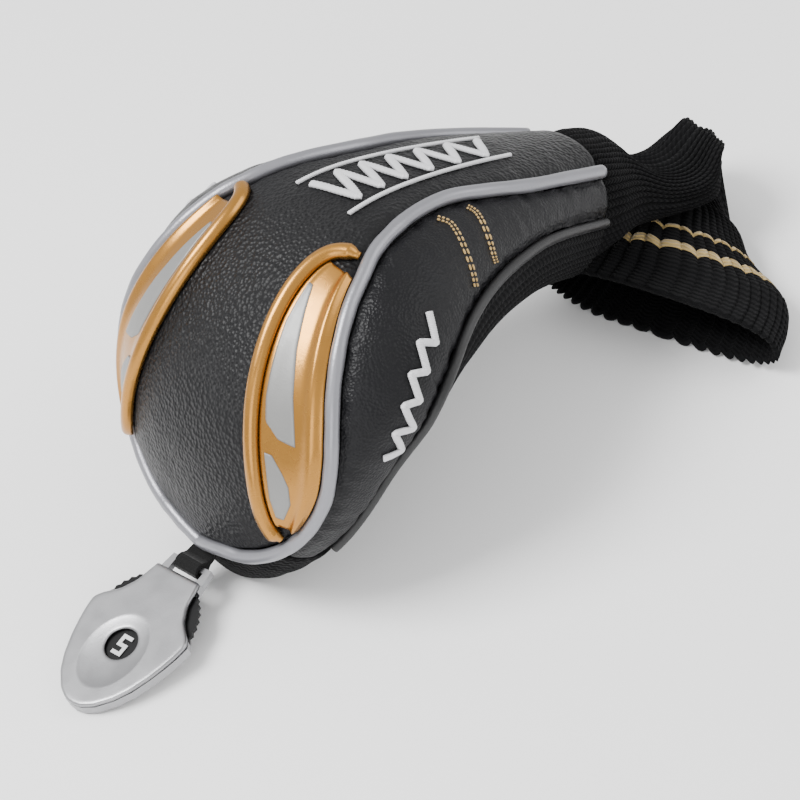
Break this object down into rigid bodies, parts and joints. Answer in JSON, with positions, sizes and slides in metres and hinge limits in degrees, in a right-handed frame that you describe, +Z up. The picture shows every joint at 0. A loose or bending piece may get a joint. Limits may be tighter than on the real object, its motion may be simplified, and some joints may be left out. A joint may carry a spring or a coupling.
{
  "type": "padded golf head cover",
  "caption": "Padded head cover for a fairway-size club head, bent along its length, with a folded knit sock and a number tag whose dial turns on a hinged strap.",
  "frame": {"origin": "centre of the whole object's box, on the surface it stands on", "axes": "+X from the tag and nose towards the folded sock, along the longest extent; +Z up; -Y is the object's right side, on which the sock's mouth opens"},
  "size_m": [0.3024, 0.1466, 0.1079],
  "materials": {
    "pebbled_leather": "fine pebbled grain, semi-gloss black synthetic leather",
    "side_leather": "finer grain, semi-gloss black synthetic leather with seam puckers",
    "silver_piping": "satin silver synthetic leather wrapped on cord",
    "black_welt": "black welt cord",
    "foam": "dark padding foam",
    "fleece": "short black pile",
    "elastic": "woven elastic band",
    "black_knit": "black rib knit",
    "gold_moulding": "flexible moulding, satin metallic gold",
    "silver_inlay": "satin silver-grey inlay",
    "pale_thread": "raised satin stitch, off-white thread",
    "gold_thread": "gold stitching thread",
    "gold_yarn": "gold knitting yarn",
    "webbing": "ribbed black webbing",
    "tag_metal": "satin bead-blasted silver",
    "pin_steel": "turned steel",
    "dial_plastic": "black moulded, knurled edge",
    "numeral_paint": "pale raised numerals"
  },
  "bodies": {
    "root": {"crown_panel": "pebbled_leather", "side_panel_right": "side_leather", "side_panel_left": "side_leather", "nose_panel": "side_leather", "crown_piping": "silver_piping", "welt_right": "black_welt", "welt_left": "black_welt", "crown_foam": "foam", "side_foam_right": "foam", "side_foam_left": "foam", "fleece_lining": "fleece", "neck_elastic": "elastic", "knit_gusset": "black_knit", "sock_neck": "black_knit", "sock_mouth": "black_knit", "sock_cuff": "black_knit", "insert_roll_right": "gold_moulding", "insert_roll_left": "gold_moulding", "insert_plate_right": "gold_moulding", "insert_plate_left": "gold_moulding", "insert_upper_window_right": "silver_inlay", "insert_upper_window_left": "silver_inlay", "insert_lower_window_right": "silver_inlay", "insert_lower_window_left": "silver_inlay", "crown_embroidery": "pale_thread", "side_embroidery_right": "pale_thread", "side_embroidery_left": "pale_thread", "stitch_row_front_right": "gold_thread", "stitch_row_rear_right": "gold_thread", "stitch_row_front_left": "gold_thread", "stitch_row_rear_left": "gold_thread", "sock_stripe_narrow": "gold_yarn", "sock_stripe_wide": "gold_yarn"},
    "strap": {"tag_strap": "webbing"},
    "tag": {"tag_face_plate": "tag_metal", "tag_tray": "tag_metal", "tag_rivet": "pin_steel", "dial_pivot": "pin_steel"},
    "dial": {"number_dial": "dial_plastic", "numeral_3": "numeral_paint", "numeral_4": "numeral_paint", "numeral_5": "numeral_paint", "numeral_7": "numeral_paint", "numeral_9": "numeral_paint"}
  },
  "joints": [
    {"name": "strap_flex", "type": "hinge", "parent": "root", "child": "strap", "pos_m": [-0.08686, 0.00981, 0.0124], "axis": [0, 1, 0], "range_deg": [0, 25]},
    {"name": "tag_swing", "type": "hinge", "parent": "strap", "child": "tag", "pos_m": [-0.09333, 0.00903, 0.01123], "axis": [-0.1564, 0.9877, 0], "range_deg": [0, 60]},
    {"name": "dial_turn", "type": "hinge", "parent": "tag", "child": "dial", "pos_m": [-0.1174, 0.00521, 0.00784], "axis": [-0.1596, -0.0253, 0.9869], "continuous": true}
  ]
}
